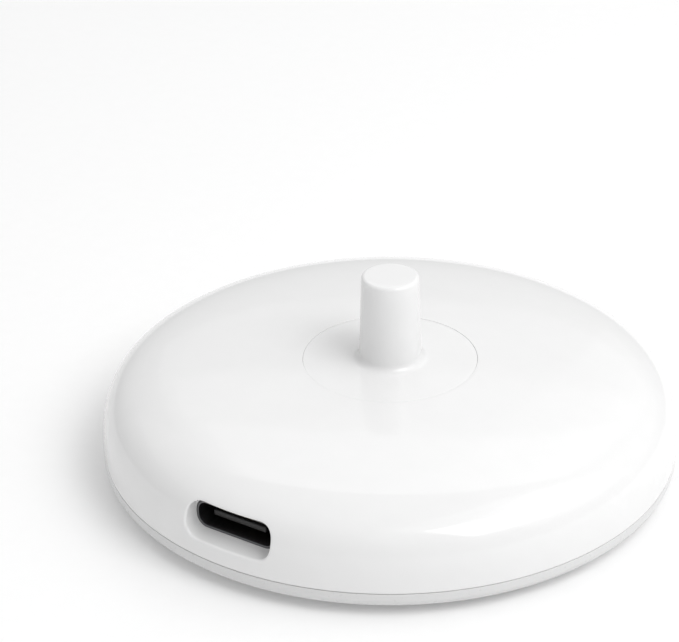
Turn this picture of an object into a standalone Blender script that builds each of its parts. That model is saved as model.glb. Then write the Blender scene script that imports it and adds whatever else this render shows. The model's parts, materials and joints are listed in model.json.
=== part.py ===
"""Charging dock of an electric toothbrush: a domed puck with a charging post.

A white two-piece case holds a coil on a ferrite core, which rises into the post,
and the circuit board that drives it from a USB-C receptacle in the side wall.
Metres, +Z up. The origin is on the table, under the middle of the puck, and the
receptacle faces -Y. Every size below is set once; what fits to it is worked out.
"""
import math

import bmesh
import bpy

MM = 0.001

# Case: overall sizes
BODY_RADIUS = 32.5 * MM
DOME_TOP = 13.0 * MM
POST_HEIGHT = 10.2 * MM
WIDEST_HEIGHT = 2.25 * MM
PARTING_HEIGHT = 3.05 * MM
CROWN_RISE = 2.0 * MM
SHOULDER_POWER = 9.7
DOME_POWER = 4.0
UNDERSIDE_SETBACK = 4.3 * MM
WALL = 1.7 * MM
FLOOR = 1.8 * MM
LIP_THICKNESS = 1.2 * MM
LIP_HEIGHT = 1.5 * MM

# Clearance that every pair of separate pieces keeps
GAP = 0.3 * MM
SEAM = 0.3 * MM

# Charging post and the disc that it stands on
DISC_RADIUS = 9.65 * MM
DISC_THICKNESS = 1.3 * MM
POST_TOP_RADIUS = 3.23 * MM
POST_DRAFT = 0.25 * MM
POST_TOP_FILLET = 0.44 * MM
POST_BASE_FILLET = 0.88 * MM
POST_WALL = 0.9 * MM
POST_ROOF = 1.2 * MM
SKIRT_THICKNESS = 1.0 * MM
SKIRT_LENGTH = 1.5 * MM
LEDGE_WIDTH = 1.35 * MM
LEDGE_THICKNESS = 1.2 * MM
CAP_SEAL_THICKNESS = 0.5 * MM

# Foot pads
PAD_STAND = 0.35 * MM
PAD_WIDTH = 5.2 * MM
PAD_SETBACK = 2.4 * MM
PAD_THICKNESS = 0.9 * MM
PAD_HALF_ANGLE = math.radians(65.0)
PAD_CORNER = 1.4 * MM
PAD_EDGE = 0.15 * MM
PAD_MARGIN = 1.3 * MM

# Receptacle and its opening
PORT_HEIGHT = 7.07 * MM
PORT_SIDE_MARGIN = 0.3 * MM
PORT_TOP_MARGIN = 0.3 * MM
PORT_DEPTH = 2.07 * MM
COLLAR_WALL = 0.8 * MM
COLLAR_REACH = 3.0 * MM
USB_WIDTH = 10.1 * MM
USB_HEIGHT = 3.32 * MM
USB_LENGTH = 7.35 * MM
USB_SHEET = 0.3 * MM
TONGUE_WIDTH = 6.7 * MM
TONGUE_THICKNESS = 0.7 * MM
TONGUE_LENGTH = 4.4 * MM
TONGUE_SETBACK = 0.7 * MM
GASKET_WALL = 0.55 * MM
GASKET_LENGTH = 1.0 * MM

# Screws that hold the cover, and those of the board
COVER_SCREW_ANGLE = math.radians(35.0)
COVER_SCREW_RADIUS = 1.0 * MM
COVER_SCREW_LENGTH = 6.3 * MM
COVER_HEAD_RADIUS = 1.7 * MM
COVER_HEAD_HEIGHT = 1.0 * MM
COVER_SEAT_ROOF = 1.2 * MM
BOSS_WALL = 1.1 * MM
BOARD_SCREW_RADIUS = 0.8 * MM
BOARD_SCREW_LENGTH = 3.1 * MM
BOARD_HEAD_RADIUS = 1.5 * MM
BOARD_HEAD_HEIGHT = 0.9 * MM
THREAD_DEPTH = 0.15 * MM
THREAD_PITCH = 1.2 * MM
THREAD_START = 0.4
THREAD_CREST = 0.3
HEAD_FLAT = 0.7
DRIVE_WIDTH = 0.4 * MM

# Coil on its core
BOBBIN_HUB_WALL = 0.8 * MM
BOBBIN_FLANGE = 0.8 * MM
BOBBIN_RADIUS = 7.6 * MM
COIL_INSET = 0.4 * MM
WIRE_RADIUS = 0.22 * MM
COIL_RIDGES = 6
COIL_SHOULDER = 0.3

# Circuit board
BOARD_THICKNESS = 1.2 * MM
BOARD_HOLE_MARGIN = 0.9 * MM
BOARD_EDGE_MARGIN = 1.8 * MM
BOARD_TAB_WIDTH = 13.0 * MM
STANDOFF_WALL = 1.0 * MM

# Components on the board: sizes along the board's rim, across it and up, and turn from +X
COMPONENT_EDGE = 0.1
DRIVER_CHIP = (4.9 * MM, 3.9 * MM, 1.5 * MM)
DRIVER_CHIP_ANGLE = math.radians(180.0)
INDUCTOR = (5.0 * MM, 5.0 * MM, 2.6 * MM)
INDUCTOR_ANGLE = math.radians(235.0)
TRANSISTOR = (2.9 * MM, 1.6 * MM, 1.1 * MM)
TRANSISTOR_ANGLES = (math.radians(30.0), math.radians(60.0))
DIODE = (3.6 * MM, 2.0 * MM, 1.4 * MM)
DIODE_ANGLE = math.radians(312.0)
SENSE_RESISTOR = (2.0 * MM, 1.25 * MM, 0.5 * MM)
SENSE_RESISTOR_ANGLE = math.radians(110.0)
GATE_RESISTOR = (1.6 * MM, 0.8 * MM, 0.45 * MM)
GATE_RESISTOR_ANGLES = (math.radians(121.0), math.radians(131.0))
FILM_CAPACITOR_LENGTH = 6.8 * MM
FILM_CAPACITOR_WIDTH = 4.2 * MM
FILM_CAPACITOR_ANGLE = 0.0
FILTER_CAN_RADIUS = 2.0 * MM
FILTER_CAN_ANGLE = math.radians(152.0)

# Seal between the two halves of the case
SEAL_WIDTH = 0.4 * MM
SEAL_DEPTH = 0.5 * MM
SEAL_INSET = 1.1 * MM

# Facets
BODY_STEPS = 48
POST_STEPS = 40
SMALL_STEPS = 24
SCREW_STEPS = 12
DOME_POINTS = 11
SHOULDER_CROWDING = 2.2

# Places that follow from the sizes
UNDERSIDE_RADIUS = BODY_RADIUS - UNDERSIDE_SETBACK
FLOOR_TOP = PAD_STAND + FLOOR
PAD_OUTER = UNDERSIDE_RADIUS - PAD_SETBACK
PAD_INNER = PAD_OUTER - PAD_WIDTH
PAD_MIDDLE = (PAD_OUTER + PAD_INNER) / 2
RECESS_TOP = PAD_THICKNESS + GAP
SEAT_RADIUS = DISC_RADIUS + SEAM
DISC_UNDERSIDE = DOME_TOP - DISC_THICKNESS
CAP_SEAL_TOP = DISC_UNDERSIDE - GAP
LEDGE_TOP = CAP_SEAL_TOP - CAP_SEAL_THICKNESS - GAP
LEDGE_UNDERSIDE = LEDGE_TOP - LEDGE_THICKNESS
LEDGE_RADIUS = DISC_RADIUS - LEDGE_WIDTH
SKIRT_RADIUS = LEDGE_RADIUS - GAP
SKIRT_END = DISC_UNDERSIDE - SKIRT_LENGTH
POST_TOP = DOME_TOP + POST_HEIGHT
POST_BASE_RADIUS = POST_TOP_RADIUS + POST_DRAFT
CORE_RADIUS = POST_TOP_RADIUS - POST_WALL - GAP
LIP_RADIUS = BODY_RADIUS - WALL - GAP
HEAD_POCKET_TOP = RECESS_TOP + COVER_HEAD_HEIGHT + 2 * GAP
COVER_HEAD_TOP = HEAD_POCKET_TOP - GAP
COVER_SEAT_TOP = HEAD_POCKET_TOP + COVER_SEAT_ROOF
COVER_BOSS_END = COVER_SEAT_TOP + GAP
BOSS_HOLE = COVER_SCREW_RADIUS + GAP
BOSS_RADIUS = BOSS_HOLE + BOSS_WALL
BOARD_TOP = PORT_HEIGHT - USB_HEIGHT / 2 - GAP
BOARD_UNDERSIDE = BOARD_TOP - BOARD_THICKNESS
BOARD_HOLE = BOBBIN_RADIUS + BOARD_HOLE_MARGIN
BOARD_RADIUS = PAD_MIDDLE - BOSS_RADIUS - BOARD_EDGE_MARGIN
BOARD_MIDDLE = (BOARD_HOLE + BOARD_RADIUS) / 2
COMPONENT_FOOT = BOARD_TOP + GAP
TALL_COMPONENT_HEIGHT = LEDGE_UNDERSIDE - GAP - COMPONENT_FOOT
STANDOFF_TOP = BOARD_UNDERSIDE - GAP
STANDOFF_HOLE = BOARD_SCREW_RADIUS + GAP
STANDOFF_RADIUS = STANDOFF_HOLE + STANDOFF_WALL
BOBBIN_BASE = FLOOR_TOP + GAP
BOBBIN_TOP = min(SKIRT_END, LEDGE_UNDERSIDE) - GAP
BOBBIN_BORE = CORE_RADIUS + GAP
BOBBIN_HUB = BOBBIN_BORE + BOBBIN_HUB_WALL
COIL_RADIUS = BOBBIN_RADIUS - COIL_INSET
COIL_BASE = BOBBIN_BASE + BOBBIN_FLANGE + GAP
COIL_TOP = BOBBIN_TOP - BOBBIN_FLANGE - GAP
OUTSIDE = 2 * BODY_RADIUS

COVER_SCREW_ANGLES = [COVER_SCREW_ANGLE, math.pi - COVER_SCREW_ANGLE,
                      math.pi + COVER_SCREW_ANGLE, -COVER_SCREW_ANGLE]
BOARD_SCREW_ANGLES = [math.radians(90), math.radians(205), math.radians(335)]


def dome_height(radius):
    """Height of the case's outer surface above the table at a distance from its axis."""
    share = min(radius / BODY_RADIUS, 1.0)
    shoulder = (1 - share ** SHOULDER_POWER) ** (1 / DOME_POWER)
    crown = CROWN_RISE * (1 - share ** 2)
    return WIDEST_HEIGHT + (DOME_TOP - WIDEST_HEIGHT - CROWN_RISE) * shoulder + crown


def dome_radius(height):
    """Distance of the outer surface from the axis at a height, by halving."""
    low, high = 0.0, BODY_RADIUS
    for _ in range(40):
        middle = (low + high) / 2
        if dome_height(middle) > height:
            low = middle
        else:
            high = middle
    return low


PORT_WIDTH = USB_WIDTH + 2 * PORT_SIDE_MARGIN
PORT_OPENING = USB_HEIGHT + 2 * PORT_TOP_MARGIN
PORT_FACE = dome_radius(PORT_HEIGHT)
USB_FRONT = PORT_FACE - PORT_DEPTH
USB_BACK = USB_FRONT - USB_LENGTH
COLLAR_END = PORT_FACE - WALL - COLLAR_REACH
GASKET_SPREAD = 2 * (GAP + GASKET_WALL)
REBATE_SPREAD = GASKET_SPREAD + 2 * GAP
COLLAR_SPREAD = REBATE_SPREAD + 2 * COLLAR_WALL
COLLAR_UNDERSIDE = PORT_HEIGHT - (USB_HEIGHT + COLLAR_SPREAD) / 2


def clear_scene():
    """Remove every object that the scene starts with."""
    for thing in list(bpy.data.objects):
        bpy.data.objects.remove(thing, do_unlink=True)


def make_collection(name):
    """Make a collection under the scene's own."""
    collection = bpy.data.collections.new(name)
    bpy.context.scene.collection.children.link(collection)
    return collection


def make_finish(name, colour, roughness, metallic=0.0):
    """Make a Principled material."""
    material = bpy.data.materials.new(name)
    material.use_nodes = True
    shader = material.node_tree.nodes["Principled BSDF"]
    shader.inputs["Base Color"].default_value = (*colour, 1.0)
    shader.inputs["Roughness"].default_value = roughness
    shader.inputs["Metallic"].default_value = metallic
    material.diffuse_color = (*colour, 1.0)
    return material


def place(name, mesh, finish=None):
    """Put a mesh into the scene, as a part if it has a finish and as a cutter if not."""
    thing = bpy.data.objects.new(name, mesh)
    if finish is None:
        CUTTERS.objects.link(thing)
        thing.hide_render = True
        thing.display_type = "WIRE"
    else:
        PARTS.objects.link(thing)
        mesh.materials.clear()
        mesh.materials.append(finish)
        thing.parent = DOCK
    return thing


def bake(thing):
    """Turn an object's modifiers into its mesh and shade its round faces smooth."""
    bpy.context.view_layer.update()
    graph = bpy.context.evaluated_depsgraph_get()
    mesh = bpy.data.meshes.new_from_object(thing.evaluated_get(graph))
    thing.modifiers.clear()
    thing.data = mesh
    mesh.shade_smooth()
    mesh.set_sharp_from_angle(angle=math.radians(35))
    return thing


def turn(name, outline, finish=None, steps=BODY_STEPS):
    """Turn an outline of (radius, height) points about the axis.

    The outline runs down the outer side and back up the inner one. It is closed
    here unless it starts and ends on the axis.
    """
    mesh = bpy.data.meshes.new(name)
    form = bmesh.new()
    points = [form.verts.new((radius, 0.0, height)) for radius, height in outline]
    for start, end in zip(points, points[1:]):
        form.edges.new((start, end))
    if outline[0][0] > 0:
        form.edges.new((points[-1], points[0]))
    form.to_mesh(mesh)
    form.free()
    thing = place(name, mesh, finish)
    screw = thing.modifiers.new("turn", "SCREW")
    screw.axis = "Z"
    screw.angle = math.tau
    screw.steps = steps
    screw.render_steps = steps
    screw.use_merge_vertices = True
    screw.merge_threshold = 1e-6
    return bake(thing)


def arc(centre, radius, start, end, count):
    """Points of (radius, height) on an arc, with angles in degrees from outwards."""
    points = []
    for step in range(count + 1):
        angle = math.radians(start + (end - start) * step / count)
        points.append((centre[0] + radius * math.cos(angle), centre[1] + radius * math.sin(angle)))
    return points


def rod(name, radius, low, high, place_xy=(0.0, 0.0), finish=None, steps=SMALL_STEPS, edge=0.0):
    """Make an upright round bar."""
    mesh = bpy.data.meshes.new(name)
    form = bmesh.new()
    bmesh.ops.create_cone(form, cap_ends=True, segments=steps, radius1=radius, radius2=radius,
                          depth=high - low)
    form.to_mesh(mesh)
    form.free()
    thing = place(name, mesh, finish)
    thing.location = (*place_xy, (low + high) / 2)
    if edge:
        soften(thing, edge)
    mesh.shade_smooth()
    mesh.set_sharp_from_angle(angle=math.radians(35))
    return thing


def block(name, size, middle, finish=None, turn_z=0.0, edge=0.0):
    """Make a box, with its edges rounded if a radius is given."""
    mesh = bpy.data.meshes.new(name)
    form = bmesh.new()
    bmesh.ops.create_cube(form, size=1.0)
    bmesh.ops.scale(form, vec=size, verts=form.verts)
    form.to_mesh(mesh)
    form.free()
    thing = place(name, mesh, finish)
    thing.location = middle
    thing.rotation_euler = (0.0, 0.0, turn_z)
    if edge:
        soften(thing, edge)
    return thing


def soften(thing, width, segments=2):
    """Round an object's sharp edges."""
    bevel = thing.modifiers.new("edges", "BEVEL")
    bevel.width = width
    bevel.segments = segments
    bevel.limit_method = "ANGLE"
    bevel.angle_limit = math.radians(50)


def obround(name, width, height, front, back, middle_height, finish=None, round_steps=10):
    """Make a bar along Y with flat top and bottom and round sides.

    front and back are distances from the dock's axis towards the receptacle.
    """
    radius = height / 2
    straight = width / 2 - radius
    mesh = bpy.data.meshes.new(name)
    form = bmesh.new()
    rim = []
    for side in (1, -1):
        for step in range(round_steps + 1):
            angle = math.pi * step / round_steps - math.pi / 2
            rim.append(form.verts.new((side * (straight + radius * math.cos(angle)), 0.0,
                                       side * radius * math.sin(angle))))
    face = form.faces.new(rim)
    grown = bmesh.ops.extrude_face_region(form, geom=[face])
    moved = [item for item in grown["geom"] if isinstance(item, bmesh.types.BMVert)]
    bmesh.ops.translate(form, vec=(0.0, front - back, 0.0), verts=moved)
    bmesh.ops.recalc_face_normals(form, faces=form.faces)
    form.to_mesh(mesh)
    form.free()
    thing = place(name, mesh, finish)
    thing.location = (0.0, -front, middle_height)
    mesh.shade_smooth()
    mesh.set_sharp_from_angle(angle=math.radians(35))
    return thing


def band(name, inner, outer, half_angle, low, high, corner, facing, finish=None, steps=16):
    """Make a flat arc about the axis with rounded corners; facing is its middle's angle."""
    mesh = bpy.data.meshes.new(name)
    form = bmesh.new()
    rim = []
    for radius, direction in ((outer, 1), (inner, -1)):
        for step in range(steps + 1):
            angle = facing + direction * half_angle * (2 * step / steps - 1)
            rim.append(form.verts.new((radius * math.cos(angle), radius * math.sin(angle), low)))
    face = form.faces.new(rim)
    grown = bmesh.ops.extrude_face_region(form, geom=[face])
    moved = [item for item in grown["geom"] if isinstance(item, bmesh.types.BMVert)]
    bmesh.ops.translate(form, vec=(0.0, 0.0, high - low), verts=moved)
    ends = (0, steps, steps + 1, 2 * steps + 1)
    upright = [edge for edge in form.edges
               if abs(edge.verts[0].co.z - edge.verts[1].co.z) > (high - low) / 2
               and any((edge.verts[0].co - rim[end].co).xy.length < corner / 10 for end in ends)]
    bmesh.ops.bevel(form, geom=upright, offset=corner, offset_type="OFFSET", segments=4,
                    profile=0.5, affect="EDGES", clamp_overlap=True)
    bmesh.ops.recalc_face_normals(form, faces=form.faces)
    form.to_mesh(mesh)
    form.free()
    return place(name, mesh, finish)


def combine(thing, other, operation):
    """Add a Boolean modifier; other is a hidden tool."""
    step = thing.modifiers.new(operation.lower(), "BOOLEAN")
    step.operation = operation
    step.object = other
    step.solver = "EXACT"


def cut(thing, *tools):
    """Cut tools out of an object."""
    for tool in tools:
        combine(thing, tool, "DIFFERENCE")


def join(thing, *tools):
    """Fuse tools with an object, as one moulding."""
    for tool in tools:
        combine(thing, tool, "UNION")


def polar(radius, angle):
    """Place on the XY plane at a distance and an angle."""
    return radius * math.cos(angle), radius * math.sin(angle)


def dome_outline(start_radius, end_height):
    """Points down the outer surface, closer together where it bends over the shoulder."""
    outline = []
    for step in range(DOME_POINTS):
        share = (1 - step / DOME_POINTS) ** SHOULDER_CROWDING
        radius = BODY_RADIUS - (BODY_RADIUS - start_radius) * share
        outline.append((radius, dome_height(radius)))
    last_height = outline[-1][1]
    for share in (1 / 3, 2 / 3, 1.0):
        height = last_height + (end_height - last_height) * share
        outline.append((dome_radius(height), height))
    return outline


def make_collar():
    """The thick ring of wall round the receptacle, kept inside the dome's surface."""
    collar = obround("collar_tool", USB_WIDTH + COLLAR_SPREAD, USB_HEIGHT + COLLAR_SPREAD,
                     BODY_RADIUS, COLLAR_END, PORT_HEIGHT)
    inside = [(0.0, DOME_TOP - WALL / 2)]
    for radius, height in dome_outline(BODY_RADIUS / 2, PARTING_HEIGHT + WALL):
        inside.append((radius * (1 - WALL / 2 / BODY_RADIUS), height - WALL / 2))
    inside.append((0.0, PARTING_HEIGHT + WALL / 2))
    combine(collar, turn("dome_inside_tool", inside), "INTERSECT")
    return collar


def inset(outline, distance):
    """Move each point of an outline inwards, square to the line through its neighbours."""
    moved = []
    for number, (radius, height) in enumerate(outline):
        before = outline[max(number - 1, 0)]
        after = outline[min(number + 1, len(outline) - 1)]
        along = (after[0] - before[0], after[1] - before[1])
        length = math.hypot(*along)
        moved.append((radius + distance * along[1] / length, height - distance * along[0] / length))
    return moved


def make_top_shell():
    """The dome: outer skin, inner skin, the disc's ledge, screw bosses and the port."""
    rim_height = PARTING_HEIGHT + SEAM / 2
    outer = dome_outline(SEAT_RADIUS, rim_height)
    ledge_outer = SEAT_RADIUS + WALL
    inner = [point for point in reversed(inset(outer, WALL)[:-1]) if point[0] > ledge_outer + WALL]
    ledge = [(ledge_outer, inner[-1][1]), (ledge_outer, LEDGE_UNDERSIDE),
             (LEDGE_RADIUS, LEDGE_UNDERSIDE), (LEDGE_RADIUS, LEDGE_TOP), (SEAT_RADIUS, LEDGE_TOP)]
    shell = turn("top_shell", outer + [(LIP_RADIUS + GAP, rim_height)] + inner + ledge, WHITE)
    join(shell, make_collar())

    boss_join = dome_height(PAD_MIDDLE + BOSS_RADIUS) - WALL / 3
    for number, angle in enumerate(COVER_SCREW_ANGLES, 1):
        spot = polar(PAD_MIDDLE, angle)
        join(shell, rod(f"boss_tool_{number}", BOSS_RADIUS, COVER_BOSS_END, boss_join, spot,
                        steps=SCREW_STEPS))
    for number, angle in enumerate(COVER_SCREW_ANGLES, 1):
        spot = polar(PAD_MIDDLE, angle)
        hole_end = COVER_HEAD_TOP + COVER_SCREW_LENGTH + GAP
        cut(shell, rod(f"boss_hole_tool_{number}", BOSS_HOLE, COVER_BOSS_END - GAP, hole_end, spot,
                       steps=SCREW_STEPS))
    cut(shell, obround("port_tool", PORT_WIDTH, PORT_OPENING, OUTSIDE, COLLAR_END - WALL, PORT_HEIGHT))
    cut(shell, obround("rebate_tool", USB_WIDTH + REBATE_SPREAD, USB_HEIGHT + REBATE_SPREAD,
                       COLLAR_END + GASKET_LENGTH + GAP, COLLAR_END - WALL, PORT_HEIGHT))
    return shell


def make_post_cap():
    """The disc and the hollow charging post that it carries, as one moulding."""
    base = dome_height(POST_BASE_RADIUS + POST_BASE_FILLET)
    outline = [(0.0, POST_TOP)]
    outline += arc((POST_TOP_RADIUS - POST_TOP_FILLET, POST_TOP - POST_TOP_FILLET),
                   POST_TOP_FILLET, 90, 0, 4)
    outline += arc((POST_BASE_RADIUS + POST_BASE_FILLET, base + POST_BASE_FILLET),
                   POST_BASE_FILLET, 180, 270, 5)
    for share in (0.5, 1.0):
        radius = POST_BASE_RADIUS + POST_BASE_FILLET
        radius += (DISC_RADIUS - radius) * share
        outline.append((radius, dome_height(radius)))
    outline += [(DISC_RADIUS, DISC_UNDERSIDE), (SKIRT_RADIUS, DISC_UNDERSIDE),
                (SKIRT_RADIUS, SKIRT_END), (SKIRT_RADIUS - SKIRT_THICKNESS, SKIRT_END),
                (SKIRT_RADIUS - SKIRT_THICKNESS, DISC_UNDERSIDE),
                (POST_BASE_RADIUS - POST_WALL, DISC_UNDERSIDE),
                (POST_TOP_RADIUS - POST_WALL, POST_TOP - POST_ROOF), (0.0, POST_TOP - POST_ROOF)]
    return turn("post_cap", outline, WHITE, steps=POST_STEPS)


def make_cap_seal():
    """The ring that seals the disc on the shell's ledge."""
    inner = SKIRT_RADIUS + GAP
    low = CAP_SEAL_TOP - CAP_SEAL_THICKNESS
    outline = [(inner, CAP_SEAL_TOP), (DISC_RADIUS, CAP_SEAL_TOP), (DISC_RADIUS, low), (inner, low)]
    return turn("post_cap_seal", outline, SEAL_GREY)


def make_bottom_cover():
    """The round pan that closes the case, with pad recesses, screw seats and standoffs."""
    lip_top = PARTING_HEIGHT + LIP_HEIGHT
    lip_inner = LIP_RADIUS - LIP_THICKNESS
    rim = PARTING_HEIGHT - SEAM / 2
    groove_outer = BODY_RADIUS - SEAL_INSET + SEAL_WIDTH / 2 + GAP
    groove_inner = groove_outer - SEAL_WIDTH - 2 * GAP
    groove_floor = rim - SEAL_DEPTH - GAP
    outline = [(0.0, FLOOR_TOP), (lip_inner, FLOOR_TOP), (lip_inner, lip_top), (LIP_RADIUS, lip_top),
               (LIP_RADIUS, rim), (groove_inner, rim), (groove_inner, groove_floor),
               (groove_outer, groove_floor), (groove_outer, rim), (dome_radius(rim), rim)]
    drop = WIDEST_HEIGHT - PAD_STAND
    for step in range(9):
        angle = math.pi / 2 * step / 8
        outline.append((UNDERSIDE_RADIUS + UNDERSIDE_SETBACK * math.cos(angle),
                        WIDEST_HEIGHT - drop * math.sin(angle)))
    outline.append((0.0, PAD_STAND))
    cover = turn("bottom_cover", outline, SATIN_WHITE)

    for number, angle in enumerate(COVER_SCREW_ANGLES, 1):
        spot = polar(PAD_MIDDLE, angle)
        join(cover, rod(f"seat_tool_{number}", COVER_HEAD_RADIUS + GAP + BOSS_WALL, RECESS_TOP + GAP,
                        COVER_SEAT_TOP, spot, steps=SCREW_STEPS))
    for number, angle in enumerate(BOARD_SCREW_ANGLES, 1):
        join(cover, rod(f"standoff_tool_{number}", STANDOFF_RADIUS, FLOOR_TOP - GAP, STANDOFF_TOP,
                        polar(BOARD_MIDDLE, angle), steps=SCREW_STEPS))
    notch_front = LIP_RADIUS + GAP
    notch_back = COLLAR_END - GAP
    notch_low = COLLAR_UNDERSIDE - GAP
    cut(cover, block("lip_notch_tool",
                     (USB_WIDTH + COLLAR_SPREAD + 2 * GAP, notch_front - notch_back, OUTSIDE),
                     (0.0, -(notch_front + notch_back) / 2, notch_low + OUTSIDE / 2)))
    for name, facing in (("left", math.pi), ("right", 0.0)):
        cut(cover, band(f"{name}_recess_tool", PAD_INNER - PAD_MARGIN, PAD_OUTER + PAD_MARGIN,
                        PAD_HALF_ANGLE + PAD_MARGIN / PAD_MIDDLE, -FLOOR, RECESS_TOP,
                        PAD_CORNER + PAD_MARGIN, facing))
    for number, angle in enumerate(COVER_SCREW_ANGLES, 1):
        spot = polar(PAD_MIDDLE, angle)
        cut(cover, rod(f"head_pocket_tool_{number}", COVER_HEAD_RADIUS + GAP, 0.0, HEAD_POCKET_TOP,
                       spot, steps=SCREW_STEPS))
        cut(cover, rod(f"screw_way_tool_{number}", BOSS_HOLE, 0.0, OUTSIDE, spot, steps=SCREW_STEPS))
    for number, angle in enumerate(BOARD_SCREW_ANGLES, 1):
        hole_end = BOARD_TOP - BOARD_SCREW_LENGTH
        cut(cover, rod(f"standoff_hole_tool_{number}", STANDOFF_HOLE, hole_end, OUTSIDE,
                       polar(BOARD_MIDDLE, angle), steps=SCREW_STEPS))
    return cover


def make_cover_seal():
    """The cord seal in the cover's groove, under the rim of the dome."""
    middle = BODY_RADIUS - SEAL_INSET
    top = PARTING_HEIGHT - SEAM / 2
    outline = [(middle - SEAL_WIDTH / 2, top), (middle + SEAL_WIDTH / 2, top),
               (middle + SEAL_WIDTH / 2, top - SEAL_DEPTH), (middle - SEAL_WIDTH / 2, top - SEAL_DEPTH)]
    return turn("cover_seal", outline, SEAL_GREY)


def make_foot_pads():
    """The two rubber arcs that the dock stands on."""
    for name, facing in (("left_foot_pad", math.pi), ("right_foot_pad", 0.0)):
        pad = band(name, PAD_INNER, PAD_OUTER, PAD_HALF_ANGLE, 0.0, PAD_THICKNESS, PAD_CORNER,
                   facing, RUBBER)
        soften(pad, PAD_EDGE)


def screw_outline(head_radius, head_height, radius, length):
    """Outline of a pan-head screw whose bearing face is at height zero, point down."""
    root = radius - THREAD_DEPTH
    outline = [(0.0, head_height), (head_radius * HEAD_FLAT, head_height), (head_radius, head_height / 2),
               (head_radius, 0.0), (root, 0.0)]
    for ridge in range(int(length / THREAD_PITCH) - 1):
        top = -THREAD_PITCH * (ridge + THREAD_START)
        outline += [(root, top), (radius, top - THREAD_PITCH * THREAD_CREST),
                    (root, top - 2 * THREAD_PITCH * THREAD_CREST)]
    outline += [(root, -length + radius), (0.0, -length)]
    return outline


def make_screw(name, spot, bearing, head, shank, head_up):
    """One self-tapping screw with a cross recess; bearing is its head's seat height."""
    head_radius, head_height = head
    screw = turn(name, screw_outline(*head, *shank), STEEL, steps=SCREW_STEPS)
    direction = 1 if head_up else -1
    screw.location = (*spot, bearing)
    screw.rotation_euler = (0.0 if head_up else math.pi, 0.0, 0.0)
    for number, sides in enumerate(((head_radius, DRIVE_WIDTH), (DRIVE_WIDTH, head_radius)), 1):
        cut(screw, block(f"{name}_drive_tool_{number}", (*sides, head_height),
                         (*spot, bearing + direction * head_height)))


def make_screws():
    """The cover's four screws, driven from below, and the board's three, driven from above."""
    for number, angle in enumerate(COVER_SCREW_ANGLES, 1):
        make_screw(f"cover_screw_{number}", polar(PAD_MIDDLE, angle), COVER_HEAD_TOP,
                   (COVER_HEAD_RADIUS, COVER_HEAD_HEIGHT), (COVER_SCREW_RADIUS, COVER_SCREW_LENGTH),
                   head_up=False)
    for number, angle in enumerate(BOARD_SCREW_ANGLES, 1):
        make_screw(f"board_screw_{number}", polar(BOARD_MIDDLE, angle), BOARD_TOP + GAP,
                   (BOARD_HEAD_RADIUS, BOARD_HEAD_HEIGHT), (BOARD_SCREW_RADIUS, BOARD_SCREW_LENGTH),
                   head_up=True)


def make_core():
    """The ferrite rod that carries the field up into the post."""
    rod("ferrite_core", CORE_RADIUS, BOBBIN_BASE, POST_TOP - POST_ROOF - GAP, finish=FERRITE,
        edge=GAP)


def make_bobbin():
    """The flanged spool round the core."""
    outline = [(BOBBIN_BORE, BOBBIN_TOP), (BOBBIN_RADIUS, BOBBIN_TOP),
               (BOBBIN_RADIUS, BOBBIN_TOP - BOBBIN_FLANGE), (BOBBIN_HUB, BOBBIN_TOP - BOBBIN_FLANGE),
               (BOBBIN_HUB, BOBBIN_BASE + BOBBIN_FLANGE),
               (BOBBIN_RADIUS, BOBBIN_BASE + BOBBIN_FLANGE), (BOBBIN_RADIUS, BOBBIN_BASE),
               (BOBBIN_BORE, BOBBIN_BASE)]
    turn("coil_bobbin", outline, NYLON, steps=SMALL_STEPS)


def make_coil():
    """The winding, with the ridges of its outer layer, and its two leads."""
    inner = BOBBIN_HUB + GAP
    pitch = (COIL_TOP - COIL_BASE) / COIL_RIDGES
    outline = [(inner, COIL_TOP)]
    for ridge in range(COIL_RIDGES):
        top = COIL_TOP - pitch * ridge
        outline.append((COIL_RADIUS - WIRE_RADIUS, top))
        outline.append((COIL_RADIUS, top - pitch * COIL_SHOULDER))
        outline.append((COIL_RADIUS, top - pitch * (1 - COIL_SHOULDER)))
    outline += [(COIL_RADIUS - WIRE_RADIUS, COIL_BASE), (inner, COIL_BASE)]
    turn("charging_coil", outline, COPPER, steps=SMALL_STEPS)
    for name, angle in (("coil_lead_start", math.radians(60)), ("coil_lead_end", math.radians(120))):
        make_lead(name, angle)


def make_lead(name, angle):
    """A wire that hops from the winding over the board's inner edge to its joint."""
    start = COIL_RADIUS + GAP + WIRE_RADIUS
    low = BOARD_TOP + GAP + WIRE_RADIUS
    rise = (COIL_TOP - low) / 2
    end = BOARD_HOLE + STANDOFF_WALL
    steps = 8
    curve = bpy.data.curves.new(name, "CURVE")
    curve.dimensions = "3D"
    curve.bevel_depth = WIRE_RADIUS
    curve.bevel_resolution = 2
    curve.use_fill_caps = True
    spline = curve.splines.new("POLY")
    spline.points.add(steps)
    for step, point in enumerate(spline.points):
        turned = math.pi * step / steps
        radius = start + (end - start) * (1 - math.cos(turned)) / 2
        height = low + rise * math.sin(turned) + (1 - step / steps) * rise / 2
        point.co = (*polar(radius, angle), height, 1.0)
    lead = bpy.data.objects.new(name, curve)
    PARTS.objects.link(lead)
    curve.materials.append(COPPER)
    lead.parent = DOCK


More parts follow.
